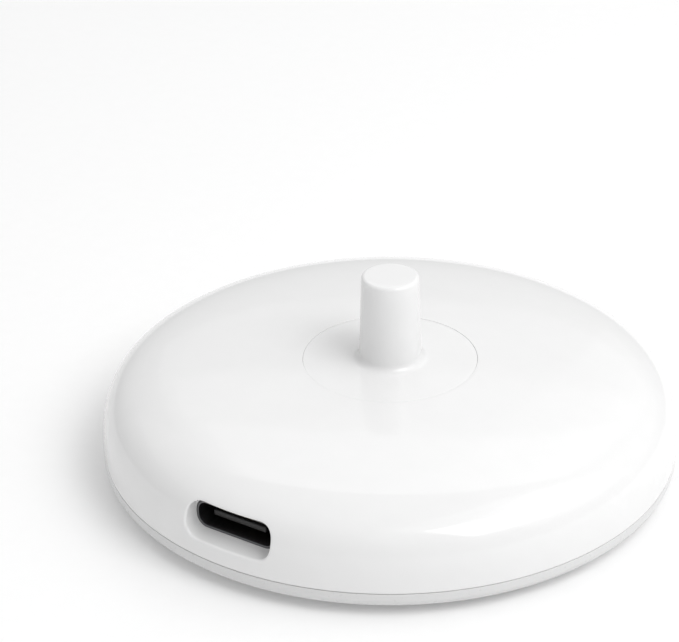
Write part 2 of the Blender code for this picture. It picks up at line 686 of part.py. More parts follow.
def make_board():
    """The ring-shaped circuit board with the tab that carries the receptacle."""
    outline = [(BOARD_HOLE, BOARD_TOP), (BOARD_RADIUS, BOARD_TOP), (BOARD_RADIUS, BOARD_UNDERSIDE),
               (BOARD_HOLE, BOARD_UNDERSIDE)]
    board = turn("circuit_board", outline, BOARD_GREEN)
    tab_front = COLLAR_END - GAP
    tab_length = tab_front - BOARD_MIDDLE
    join(board, block("board_tab_tool", (BOARD_TAB_WIDTH, tab_length, BOARD_THICKNESS),
                      (0.0, -BOARD_MIDDLE - tab_length / 2, (BOARD_TOP + BOARD_UNDERSIDE) / 2)))
    for number, angle in enumerate(BOARD_SCREW_ANGLES, 1):
        cut(board, rod(f"board_hole_tool_{number}", STANDOFF_HOLE, 0.0, OUTSIDE,
                       polar(BOARD_MIDDLE, angle), steps=SCREW_STEPS))


def make_receptacle():
    """The USB-C receptacle: steel shell, plastic tongue, and the gasket round the shell."""
    shell = obround("usb_shell", USB_WIDTH, USB_HEIGHT, USB_FRONT, USB_BACK, PORT_HEIGHT, STEEL)
    cut(shell, obround("usb_mouth_tool", USB_WIDTH - 2 * USB_SHEET, USB_HEIGHT - 2 * USB_SHEET,
                       OUTSIDE, USB_BACK + USB_SHEET, PORT_HEIGHT))
    root_length = USB_LENGTH - TONGUE_LENGTH - TONGUE_SETBACK - USB_SHEET - GAP
    root_back = USB_BACK + USB_SHEET + GAP
    root_width = USB_WIDTH - USB_HEIGHT
    root_height = USB_HEIGHT - 2 * USB_SHEET - 2 * GAP
    tongue = block("usb_tongue", (root_width, root_length, root_height),
                   (0.0, -root_back - root_length / 2, PORT_HEIGHT), BLACK_PLASTIC)
    reach = TONGUE_LENGTH + root_length / 2
    join(tongue, block("tongue_tool", (TONGUE_WIDTH, reach, TONGUE_THICKNESS),
                       (0.0, -root_back - root_length / 2 - reach / 2, PORT_HEIGHT)))
    gasket = obround("port_gasket", USB_WIDTH + GASKET_SPREAD, USB_HEIGHT + GASKET_SPREAD,
                     COLLAR_END + GASKET_LENGTH, COLLAR_END, PORT_HEIGHT, SEAL_GREY)
    cut(gasket, obround("gasket_hole_tool", USB_WIDTH + 2 * GAP, USB_HEIGHT + 2 * GAP, OUTSIDE,
                        COLLAR_END - WALL, PORT_HEIGHT))


def make_components():
    """What stands on the board: driver, switches, resonance capacitor and the rest."""
    film_capacitor = (FILM_CAPACITOR_LENGTH, FILM_CAPACITOR_WIDTH, TALL_COMPONENT_HEIGHT)
    boxes = [("driver_chip", DRIVER_CHIP, DRIVER_CHIP_ANGLE, BLACK_PLASTIC),
             ("power_inductor", INDUCTOR, INDUCTOR_ANGLE, FERRITE),
             ("resonance_capacitor", film_capacitor, FILM_CAPACITOR_ANGLE, FILM_RED),
             ("switching_transistor_1", TRANSISTOR, TRANSISTOR_ANGLES[0], BLACK_PLASTIC),
             ("switching_transistor_2", TRANSISTOR, TRANSISTOR_ANGLES[1], BLACK_PLASTIC),
             ("protection_diode", DIODE, DIODE_ANGLE, BLACK_PLASTIC),
             ("sense_resistor", SENSE_RESISTOR, SENSE_RESISTOR_ANGLE, BLACK_PLASTIC),
             ("gate_resistor_1", GATE_RESISTOR, GATE_RESISTOR_ANGLES[0], BLACK_PLASTIC),
             ("gate_resistor_2", GATE_RESISTOR, GATE_RESISTOR_ANGLES[1], BLACK_PLASTIC)]
    for name, size, angle, finish in boxes:
        middle = (*polar(BOARD_MIDDLE, angle), COMPONENT_FOOT + size[2] / 2)
        block(name, size, middle, finish, turn_z=angle + math.pi / 2,
              edge=COMPONENT_EDGE * size[2])
    rod("filter_capacitor", FILTER_CAN_RADIUS, COMPONENT_FOOT,
        COMPONENT_FOOT + TALL_COMPONENT_HEIGHT, polar(BOARD_MIDDLE, FILTER_CAN_ANGLE), ALUMINIUM,
        edge=GAP)


def build():
    """Make every part of the dock."""
    make_top_shell()
    make_post_cap()
    make_cap_seal()
    make_bottom_cover()
    make_cover_seal()
    make_foot_pads()
    make_screws()
    make_core()
    make_bobbin()
    make_coil()
    make_board()
    make_receptacle()
    make_components()


clear_scene()
PARTS = make_collection("toothbrush_charging_dock")
CUTTERS = make_collection("tools")
DOCK = bpy.data.objects.new("dock", None)
PARTS.objects.link(DOCK)

WHITE = make_finish("gloss_white_plastic", (0.84, 0.84, 0.84), 0.18)
SATIN_WHITE = make_finish("satin_white_plastic", (0.8, 0.8, 0.8), 0.3)
RUBBER = make_finish("dark_rubber", (0.045, 0.045, 0.047), 0.75)
SEAL_GREY = make_finish("grey_silicone", (0.30, 0.30, 0.31), 0.60)
STEEL = make_finish("plated_steel", (0.62, 0.62, 0.64), 0.30, 1.0)
BLACK_PLASTIC = make_finish("black_plastic", (0.02, 0.02, 0.022), 0.45)
FERRITE = make_finish("ferrite", (0.10, 0.10, 0.11), 0.65)
NYLON = make_finish("natural_nylon", (0.72, 0.70, 0.62), 0.50)
COPPER = make_finish("enamelled_copper", (0.72, 0.33, 0.14), 0.30, 1.0)
BOARD_GREEN = make_finish("solder_mask", (0.02, 0.16, 0.07), 0.40)
FILM_RED = make_finish("film_capacitor", (0.45, 0.08, 0.05), 0.45)
ALUMINIUM = make_finish("capacitor_can", (0.70, 0.70, 0.72), 0.35, 1.0)

build()
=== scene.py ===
"""Looks of the charging dock: fine case, post, foot pads and receptacle, and every finish.

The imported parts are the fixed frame, in metres, with +Z up and the receptacle facing -Y.
Each class below builds one sub-assembly round that frame and dresses it.
"""
import json
import logging
import math
from collections.abc import Callable, Iterable
from dataclasses import dataclass, field
from enum import Enum
from functools import partial

import bmesh
import bpy
from mathutils import Matrix, Vector


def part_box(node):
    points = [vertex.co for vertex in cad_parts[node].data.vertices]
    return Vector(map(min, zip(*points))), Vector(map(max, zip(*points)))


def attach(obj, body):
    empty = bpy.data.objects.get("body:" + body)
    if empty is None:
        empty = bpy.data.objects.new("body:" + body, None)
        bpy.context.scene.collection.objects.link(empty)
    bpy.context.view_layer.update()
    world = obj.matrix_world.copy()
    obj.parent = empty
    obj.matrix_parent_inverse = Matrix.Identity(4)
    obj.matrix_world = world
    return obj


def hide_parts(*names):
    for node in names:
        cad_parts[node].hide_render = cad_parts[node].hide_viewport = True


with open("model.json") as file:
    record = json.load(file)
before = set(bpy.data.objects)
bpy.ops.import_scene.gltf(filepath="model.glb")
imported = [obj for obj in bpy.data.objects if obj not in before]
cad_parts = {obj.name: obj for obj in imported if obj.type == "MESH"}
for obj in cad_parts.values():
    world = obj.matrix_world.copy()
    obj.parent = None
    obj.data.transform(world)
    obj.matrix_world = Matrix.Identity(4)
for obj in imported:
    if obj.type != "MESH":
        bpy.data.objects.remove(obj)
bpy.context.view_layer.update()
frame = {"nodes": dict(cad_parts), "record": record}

LOG = logging.getLogger("charging_dock")
MM = 0.001
TINY = 1e-7
FULL_TURN = 2 * math.pi
HALVINGS = 50
PACKED_GAP = 0.3 * MM
SEAM_WIDTH = 0.02 * MM
PARTING_HEIGHT = 3.05 * MM
PARTING_WIDTH = 0.09 * MM
BROKEN_EDGE = 0.04 * MM
WALL = 1.7 * MM
PAD_WIDTH = 5.2 * MM
PAD_HALF_ANGLE = math.radians(65.0)
PAD_CORNER = 1.4 * MM
RECESS_MARGIN = 1.3 * MM
RECESS_HALF_ANGLE = math.radians(68.2)
RECESS_CORNER = 2.5 * MM
SOAK_DEPTH = 1.0 * MM
BRUSH_STRETCH = 40
WINDING_WANDER = 0.4
CLOUD_DETAIL = 4.0
TONE_LIMITS = (0.3, 0.7)
Colour = tuple[float, float, float]
Size = tuple[float, float]
Mesh = bmesh.types.BMesh
Vert = bmesh.types.BMVert
Edge = bmesh.types.BMEdge
Face = bmesh.types.BMFace
Piece = bpy.types.Object
Socket = bpy.types.NodeSocket


class Pattern(Enum):
    """How a finish varies over its surface."""

    CLOUDED = "clouded"
    PEBBLED = "pebbled"
    BRUSHED = "brushed"
    SINTERED = "sintered"
    WOUND = "wound"
    TRACKED = "tracked"


class Skin(Enum):
    """The two sides of the case's wall."""

    OUTER = "outer"
    INNER = "inner"


@dataclass(frozen=True)
class Finish:
    """A finish of two close tones over a fine relief.

    Args:
        name: The material's name.
        tone: Main colour, linear.
        deep_tone: Colour in the pattern's low places, linear.
        gloss: Least and most roughness across the pattern.
        grain: Size of the pattern, in metres.
        relief: Height of the bumps, in metres.
        metallic: How far the surface is metal.
        coat: Weight of a clear coat.
        subsurface: Weight of the light that soaks in.
        pattern: The kind of variation.
    """

    name: str
    tone: Colour
    deep_tone: Colour
    gloss: Size
    grain: float
    relief: float
    metallic: float = 0.0
    coat: float = 0.0
    subsurface: float = 0.0
    pattern: Pattern = Pattern.CLOUDED

    def material(self) -> bpy.types.Material:
        """Makes the node material.

        Returns:
            The material, which is made once and then reused.
        """
        known = bpy.data.materials.get(self.name)
        if known is not None:
            return known
        material = bpy.data.materials.new(self.name)
        material.use_nodes = True
        tree = material.node_tree
        shader = tree.nodes["Principled BSDF"]
        shader.inputs["Metallic"].default_value = self.metallic
        shader.inputs["Coat Weight"].default_value = self.coat
        shader.inputs["Subsurface Weight"].default_value = self.subsurface
        shader.inputs["Subsurface Scale"].default_value = SOAK_DEPTH
        self.apply_pattern(tree, self.pattern_height(tree), shader)
        return material

    def pattern_height(self, tree: bpy.types.NodeTree) -> Socket:
        """Adds the texture of the pattern.

        Args:
            tree: The material's nodes.

        Returns:
            The socket that gives the pattern's height, from 0 to 1.
        """
        place = tree.nodes.new("ShaderNodeTexCoord")
        mapping = tree.nodes.new("ShaderNodeMapping")
        tree.links.new(place.outputs["Object"], mapping.inputs["Vector"])
        rate = 1.0 / self.grain
        along = rate / BRUSH_STRETCH if self.pattern is Pattern.BRUSHED else rate
        mapping.inputs["Scale"].default_value = (rate, along, rate)
        label = "Fac"
        if self.pattern in (Pattern.SINTERED, Pattern.TRACKED):
            texture = tree.nodes.new("ShaderNodeTexVoronoi")
            label = "Distance"
            if self.pattern is Pattern.TRACKED:
                texture.distance = "MANHATTAN"
        elif self.pattern is Pattern.WOUND:
            texture = tree.nodes.new("ShaderNodeTexWave")
            texture.bands_direction = "Z"
            texture.inputs["Distortion"].default_value = WINDING_WANDER
        else:
            texture = tree.nodes.new("ShaderNodeTexNoise")
            texture.inputs["Detail"].default_value = CLOUD_DETAIL
        texture.inputs["Scale"].default_value = 1.0
        tree.links.new(mapping.outputs["Vector"], texture.inputs["Vector"])
        return texture.outputs[label]

    def apply_pattern(
        self, tree: bpy.types.NodeTree, height: Socket, shader: bpy.types.ShaderNode,
    ) -> None:
        """Mixes the two tones, varies the roughness and lifts fine bumps with the pattern.

        Args:
            tree: The material's nodes.
            height: The pattern.
            shader: The surface shader.
        """
        ramp = tree.nodes.new("ShaderNodeValToRGB")
        low, high = ramp.color_ramp.elements
        low.position, high.position = TONE_LIMITS
        low.color, high.color = (*self.deep_tone, 1.0), (*self.tone, 1.0)
        spread = tree.nodes.new("ShaderNodeMapRange")
        spread.inputs["To Max"].default_value, spread.inputs["To Min"].default_value = self.gloss
        bump = tree.nodes.new("ShaderNodeBump")
        bump.inputs["Strength"].default_value = 1.0
        bump.inputs["Distance"].default_value = self.relief
        for node, entry, exit_name, target in (
            (ramp, "Fac", "Color", "Base Color"), (spread, "Value", "Result", "Roughness"),
            (bump, "Height", "Normal", "Normal"),
        ):
            tree.links.new(height, node.inputs[entry])
            tree.links.new(node.outputs[exit_name], shader.inputs[target])


def grey(level: float) -> Colour:
    """Gives a neutral linear colour."""
    return (level, level, level)


def metal(name: str, tone: Colour, deep_tone: Colour, gloss: Size, grain: float = 0.05 * MM) -> Finish:
    """Gives the finish of a brushed metal.

    Args:
        name: The material's name.
        tone: Main colour, linear.
        deep_tone: Colour in the low places, linear.
        gloss: Least and most roughness.
        grain: Size of the brush marks, in metres.

    Returns:
        The finish.
    """
    return Finish(
        name, tone, deep_tone, gloss, grain, 0.001 * MM, metallic=1.0, pattern=Pattern.BRUSHED
    )


GLOSS_WHITE = Finish(
    "gloss_white_case", grey(0.83), grey(0.82), (0.05, 0.08), 3.0 * MM, 0.0002 * MM, coat=0.15
)
# The cover's tone, well below the case's white, is painted shade for the band that faces the floor; its
# satin roughness is its own.
SATIN_WHITE_PAINTED_SHADE = Finish("satin_white_cover_painted_shade", grey(0.70), grey(0.695), (0.26, 0.30), 0.4 * MM, 0.0003 * MM)
RUBBER = Finish(
    "dark_rubber_pad", grey(0.045), grey(0.032), (0.6, 0.8), 0.12 * MM, 0.012 * MM,
    pattern=Pattern.PEBBLED,
)
SILICONE = Finish(
    "grey_silicone_seal", grey(0.28), grey(0.22), (0.45, 0.6), 0.2 * MM, 0.006 * MM,
    pattern=Pattern.PEBBLED,
)
STEEL = metal("plated_steel", (0.60, 0.59, 0.57), (0.50, 0.49, 0.47), (0.22, 0.36))
DARK_STEEL = metal("dark_plated_steel", (0.17, 0.17, 0.175), (0.13, 0.13, 0.135), (0.3, 0.42))
GOLD = metal("gold_plated_contact", (0.83, 0.62, 0.27), (0.70, 0.50, 0.20), (0.18, 0.30))
CAN = metal("aluminium_can", (0.72, 0.72, 0.74), (0.62, 0.62, 0.64), (0.25, 0.4), 0.06 * MM)
BLACK = Finish("black_moulding", grey(0.02), grey(0.014), (0.35, 0.5), 0.15 * MM, 0.003 * MM)
FERRITE = Finish(
    "sintered_ferrite", grey(0.06), grey(0.03), (0.5, 0.75), 0.1 * MM, 0.01 * MM,
    pattern=Pattern.SINTERED,
)
NYLON = Finish(
    "natural_nylon", (0.75, 0.72, 0.62), (0.68, 0.64, 0.54), (0.35, 0.5), 0.8 * MM, 0.004 * MM,
    subsurface=0.2,
)
# The deep tone, far darker than the copper, is painted shade in the grooves between the turns.
WINDING = Finish(
    "enamelled_copper_winding", (0.60, 0.22, 0.08), (0.22, 0.06, 0.02), (0.18, 0.35),
    0.2 * MM, 0.05 * MM, metallic=0.8, coat=0.6, pattern=Pattern.WOUND,
)
LEAD_WIRE = Finish(
    "enamelled_copper_wire", (0.62, 0.24, 0.09), (0.50, 0.17, 0.06), (0.18, 0.28),
    0.3 * MM, 0.001 * MM, metallic=0.8, coat=0.6,
)
SOLDER_MASK = Finish(
    "green_solder_mask", (0.02, 0.16, 0.06), (0.012, 0.10, 0.04), (0.2, 0.35),
    1.2 * MM, 0.01 * MM, coat=0.3, pattern=Pattern.TRACKED,
)
FILM_CASE = Finish(
    "film_capacitor_case", (0.45, 0.08, 0.05), (0.38, 0.06, 0.04), (0.25, 0.4),
    0.5 * MM, 0.003 * MM,
)
SLOT_FINISHES = {
    "gloss_white_plastic": GLOSS_WHITE,
    "satin_white_plastic": SATIN_WHITE_PAINTED_SHADE,
    "dark_rubber": RUBBER,
    "grey_silicone": SILICONE,
    "plated_steel": STEEL,
    "black_plastic": BLACK,
    "ferrite": FERRITE,
    "natural_nylon": NYLON,
    "enamelled_copper": WINDING,
    "solder_mask": SOLDER_MASK,
    "film_capacitor": FILM_CASE,
    "capacitor_can": CAN,
}


def section(radius: float, height: float) -> Vector:
    """Gives the point of the turning plane at a radius and a height."""
    return Vector((radius, 0.0, height))


def polar(radius: float, angle: float, height: float = 0.0) -> Vector:
    """Gives the point at a radius, a turn from +X and a height."""
    return Vector((radius * math.cos(angle), radius * math.sin(angle), height))


def arc(centre: Size, radius: float, start: float, stop: float, steps: int) -> list[Vector]:
    """Draws an arc in the turning plane.

    Args:
        centre: Its centre, as radius and height.
        radius: Its radius.
        start: First angle in degrees, from outwards towards up.
        stop: Last angle in degrees.
        steps: How many segments it has.

    Returns:
        Its points, with the ends.
    """
    angles = [math.radians(start + (stop - start) * k / steps) for k in range(steps + 1)]
    return [section(centre[0] + radius * math.cos(a), centre[1] + radius * math.sin(a)) for a in angles]


def stretch_of(start: float, stop: float, steps: int) -> list[float]:
    """Divides a stretch evenly, with both ends."""
    return [start + (stop - start) * k / steps for k in range(steps + 1)]


def turn(bm: Mesh, outline: list[Vector], steps: int, closed: bool) -> None:
    """Turns an outline once round the Z axis.

    Args:
        bm: The mesh that takes the shape.
        outline: Points in the XZ plane.
        steps: How many segments the turn has.
        closed: Whether the last point joins the first.
    """
    verts = [bm.verts.new(point) for point in outline]
    pairs = list(zip(verts, verts[1:]))
    if closed:
        pairs.append((verts[-1], verts[0]))
    edges = [bm.edges.new(pair) for pair in pairs]
    bmesh.ops.spin(
        bm, geom=verts + edges, cent=(0, 0, 0), axis=(0, 0, 1), dvec=(0, 0, 0), angle=FULL_TURN,
        steps=steps, use_merge=True, use_duplicate=False,
    )
    bmesh.ops.remove_doubles(bm, verts=bm.verts, dist=TINY)


def round_edges(bm: Mesh, edges: list[Edge], radius: float, segments: int) -> None:
    """Rounds edges.

    Args:
        bm: The mesh.
        edges: The edges.
        radius: Radius of the round.
        segments: How many segments the round has.
    """
    bmesh.ops.bevel(
        bm, geom=edges, offset=radius, offset_type="OFFSET", affect="EDGES",
        segments=segments, profile=0.5, material=-1,
    )


def quarter_steps(radius: float, steps: int) -> list[Size]:
    """Divides a quarter round into small moves.

    Args:
        radius: Radius of the round.
        steps: How many moves it has.

    Returns:
        How far each move goes sideways and down, from the level start to the steep end.
    """
    angles = stretch_of(0.0, math.pi / 2, steps)
    return [
        (radius * (math.sin(b) - math.sin(a)), radius * (math.cos(a) - math.cos(b)))
        for a, b in zip(angles, angles[1:])
    ]


def new_ring(
    bm: Mesh, rim: list[Edge], place: Callable[[int], Vector],
    spoke: bmesh.types.BMLayerItem,
) -> list[Edge]:
    """Extrudes a loop of edges by one ring.

    Args:
        bm: The mesh.
        rim: The loop's edges.
        place: Gives the new place of the vertex on a numbered spoke.
        spoke: The layer with each vertex's spoke.

    Returns:
        The new loop's edges.
    """
    made = bmesh.ops.extrude_edge_only(bm, edges=rim)["geom"]
    fresh = {item for item in made if isinstance(item, Vert)}
    for vert in fresh:
        vert.co = place(vert[spoke])
    return [item for item in made if isinstance(item, Edge) and fresh.issuperset(item.verts)]


def open_window(bm: Mesh, faces: Iterable[Face]) -> list[Edge]:
    """Removes faces and keeps the edges round the hole.

    Args:
        bm: The mesh.
        faces: The faces to take away.

    Returns:
        The edges of the hole's rim.
    """
    gone = set(faces)
    rim = {edge for face in gone for edge in face.edges if not gone.issuperset(edge.link_faces)}
    bmesh.ops.delete(bm, geom=list(gone), context="FACES")
    return list(rim)


def placed(name: str, data: bpy.types.ID, pose: Matrix | None = None) -> Piece:
    """Adds an object to the scene.

    Args:
        name: Its name.
        data: Its mesh, light or camera.
        pose: Its matrix in the world, where it isn't at the middle.

    Returns:
        The object.
    """
    thing = bpy.data.objects.new(name, data)
    if pose is not None:
        thing.matrix_world = pose
    bpy.context.scene.collection.objects.link(thing)
    return thing


def finished(
    bm: Mesh, name: str, finish: Finish, stands_for: tuple[str, ...] = (),
    sharp_from: float = 40.0,
) -> Piece:
    """Turns a mesh into a shown piece that rides on the dock.

    Args:
        bm: The finished mesh, which is freed.
        name: The piece's name.
        finish: Its finish.
        stands_for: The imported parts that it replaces.
        sharp_from: Angle in degrees past which an edge is shaded sharp.

    Returns:
        The new object.
    """
    bmesh.ops.recalc_face_normals(bm, faces=bm.faces)
    mesh = bpy.data.meshes.new(name)
    bm.to_mesh(mesh)
    bm.free()
    mesh.shade_smooth()
    mesh.set_sharp_from_angle(angle=math.radians(sharp_from))
    piece = placed(name, mesh)
    piece.data.materials.append(finish.material())
    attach(piece, "root")
    if stands_for:
        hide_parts(*stands_for)
    LOG.info("%s: %d faces", name, len(mesh.polygons))
    return piece


@dataclass(frozen=True)
class DomeShape:
    """The case's outer form above its widest circle.

    Args:
        radius: Widest radius.
        widest_height: Height of the widest circle.
        top: Height of the middle of the dome.
        crown_rise: How far the nearly flat middle is crowned.
        shoulder_power: How late the shoulder turns down.
        dome_power: How full the shoulder is.
    """

    radius: float
    widest_height: float = 2.25 * MM
    top: float = 13.0 * MM
    crown_rise: float = 2.0 * MM
    shoulder_power: float = 9.7
    dome_power: float = 4.0

    def height(self, radius: float) -> float:
        """Gives the surface's height at a radius.

        Args:
            radius: The distance from the axis.

        Returns:
            The height.
        """
        share = min(radius / self.radius, 1.0)
        rise = self.top - self.widest_height - self.crown_rise
        shoulder = (1 - share**self.shoulder_power) ** (1 / self.dome_power)
        return self.widest_height + rise * shoulder + self.crown_rise * (1 - share**2)

    def radius_at(self, height: float) -> float:
        """Gives the surface's radius at a height, by halving.

        Args:
            height: The height.

        Returns:
            The distance from the axis.
        """
        inner, outer = 0.0, self.radius
        for _ in range(HALVINGS):
            middle = (inner + outer) / 2
            if self.height(middle) > height:
                inner = middle
            else:
                outer = middle
        return (inner + outer) / 2

    def outline(
        self, start_radius: float, turn_height: float, stop_height: float, steps: tuple[int, int]
    ) -> list[Vector]:
        """Draws the surface from a radius outwards and down to a height.

        Args:
            start_radius: Where it starts.
            turn_height: Where the points stop going by radius and go by height.
            stop_height: Where it ends.
            steps: Segments by radius and segments by height.

        Returns:
            Its points in the turning plane.
        """
        turn_radius = self.radius_at(turn_height)
        across = [section(r, self.height(r)) for r in stretch_of(start_radius, turn_radius, steps[0])]
        down = [section(self.radius_at(z), z) for z in stretch_of(turn_height, stop_height, steps[1])]
        return across + down[1:]

    def on_surface(self, x: float, z: float, inward: float = 0.0) -> Vector:
        """Gives the point of the front side at a width and a height.

        Args:
            x: Place across the front.
            z: Height.
            inward: How far the surface is moved towards the axis.

        Returns:
            The point.
        """
        radius = self.radius_at(z) - inward
        return Vector((x, -math.sqrt(radius**2 - x**2), z))


def inset_outline(outline: list[Vector], depth: float) -> list[Vector]:
    """Moves an outline of the turning plane inwards, square to itself.

    Args:
        outline: Points that run outwards and down.
        depth: How far they move.

    Returns:
        The moved points, in the same order.
    """
    moved = []
    for k, point in enumerate(outline):
        before = outline[max(k - 1, 0)]
        after = outline[min(k + 1, len(outline) - 1)]
        along = (after - before).normalized()
        moved.append(point - section(-along.z, along.x) * depth)
    return moved


@dataclass(frozen=True)
class SlotForm:
    """A wide outline with full, rounded ends.

    Args:
        width: Its width.
        opening: Its height.
        fullness: How square its ends are; 2 gives half circles.
    """

    width: float
    opening: float
    fullness: float = 2.5

    def place(self, angle: float) -> Size:
        """Gives a point of the outline.

        Args:
            angle: The point's angle on the end's circle before the end is made fuller.

        Returns:
            Its place across and its height, from the middle.
        """
        half, power = self.opening / 2, 2.0 / self.fullness
        across, up = math.cos(angle), math.sin(angle)
        straight = self.width / 2 - half
        side = 0.0 if abs(across) < TINY else math.copysign(straight, across)
        x = side + math.copysign(half * abs(across) ** power, across)
        return x, math.copysign(half * abs(up) ** power, up)

    def along_ray(self, angle: float) -> Size:
        """Finds where a ray from the middle meets the outline, by halving.

        Args:
            angle: The ray's angle from +X towards up.

        Returns:
            The place across and the height, from the middle.
        """
        across, up = abs(math.cos(angle)), abs(math.sin(angle))
        half = self.opening / 2
        near, far = 0.0, self.width
        for _ in range(HALVINGS):
            reach = (near + far) / 2
            beyond = max(reach * across - (self.width / 2 - half), 0.0) / half
            if beyond**self.fullness + (reach * up / half) ** self.fullness < 1.0:
                near = reach
            else:
                far = reach
        return reach * math.cos(angle), reach * math.sin(angle)


@dataclass
class Port:
    """The round-ended opening in front of the receptacle.

    Args:
        height: Height of its middle.
        receptacle: Width and height of the receptacle.
        back: Where the recess ends, along Y.
        collar_end: Where the collar ends, along Y.
        lip: Width of the rounded lip.
        back_width: Width at the back of the recess.
        back_opening: Height at the back of the recess.
        sleeve_gap: Gap between the receptacle and the hole for it.
        collar_wall: Thickness of the collar behind the wall.
    """

    height: float
    receptacle: Size
    back: float
    collar_end: float = -27.48 * MM
    lip: float = 0.36 * MM
    back_width: float = 10.36 * MM
    back_opening: float = 3.58 * MM
    sleeve_gap: float = 0.06 * MM
    collar_wall: float = 0.8 * MM

    def grown(self, margin: float) -> Size:
        """Gives the opening's width and height with a margin all round."""
        return tuple(size + 2 * (PACKED_GAP + margin) for size in self.receptacle)

    def outline(self, angle: float, width: float, opening: float) -> Size:
        """Finds where a ray from the middle meets a round-ended outline.

        Args:
            angle: The ray's angle from +X towards up.
            width: The outline's width.
            opening: The outline's height.

        Returns:
            The place across and the height.
        """
        x, z = SlotForm(width, opening).along_ray(angle)
        return x, self.height + z


@dataclass
class PortRings:
    """The rings of points that lead from the dome's surface into the port.

    Args:
        shape: The dome's form.
        port: The opening.
        skin_depth: How deep the collar meets the wall's inner skin.
        starts: Points of the hole in the outer skin, in order round it.
    """

    shape: DomeShape
    port: Port
    skin_depth: float
    starts: list[Vector]

    def outline(self, number: int, size: Size) -> Size:
        """Gives the place across and the height of one point of an outline.

        Args:
            number: Number of the point, round the ring.
            size: Width and height of the outline.

        Returns:
            The place across and the height.
        """
        start = self.starts[number]
        angle = math.atan2(start.z - self.port.height, start.x)
        return self.port.outline(angle, *size)

    def towards_lip(self, number: int, share: float) -> Vector:
        """Gives a point on the dome between the hole's edge and the lip.

        Args:
            number: Number of the point, round the ring.
            share: 0 at the hole's edge and 1 at the lip.

        Returns:
            The point.
        """
        port, start = self.port, self.starts[number]
        x, z = self.outline(number, port.grown(port.lip))
        return self.shape.on_surface(start.x + (x - start.x) * share, start.z + (z - start.z) * share)

    def over_lip(self, number: int, share: float) -> Vector:
        """Gives a point of the rounded lip.

        Args:
            number: Number of the point, round the ring.
            share: 0 on the dome and 1 in the recess.

        Returns:
            The point.
        """
        port = self.port
        start = self.towards_lip(number, 1.0)
        corner = self.shape.on_surface(*self.outline(number, port.grown(0.0)))
        end = corner + Vector((0.0, port.lip, 0.0))
        rest = 1.0 - share
        return start * rest**2 + corner * 2 * rest * share + end * share**2

    def along_recess(self, number: int, share: float) -> Vector:
        """Gives a point of the recess's wall.

        Args:
            number: Number of the point, round the ring.
            share: 0 at the lip and 1 at the back.

        Returns:
            The point.
        """
        port = self.port
        x, z = self.outline(number, (port.back_width, port.back_opening))
        return self.over_lip(number, 1.0).lerp(Vector((x, port.back, z)), share)

    def flat(self, number: int, size: Size, y: float) -> Vector:
        """Gives a point of an outline square to the port.

        Args:
            number: Number of the point, round the ring.
            size: Width and height of the outline.
            y: Where the outline stands.

        Returns:
            The point.
        """
        x, z = self.outline(number, size)
        return Vector((x, y, z))

    def on_inner_skin(self, number: int, size: Size) -> Vector:
        """Gives a point of an outline on the wall's inner skin.

        Args:
            number: Number of the point, round the ring.
            size: Width and height of the outline.

        Returns:
            The point.
        """
        x, z = self.outline(number, size)
        return self.shape.on_surface(x, z, inward=self.skin_depth)


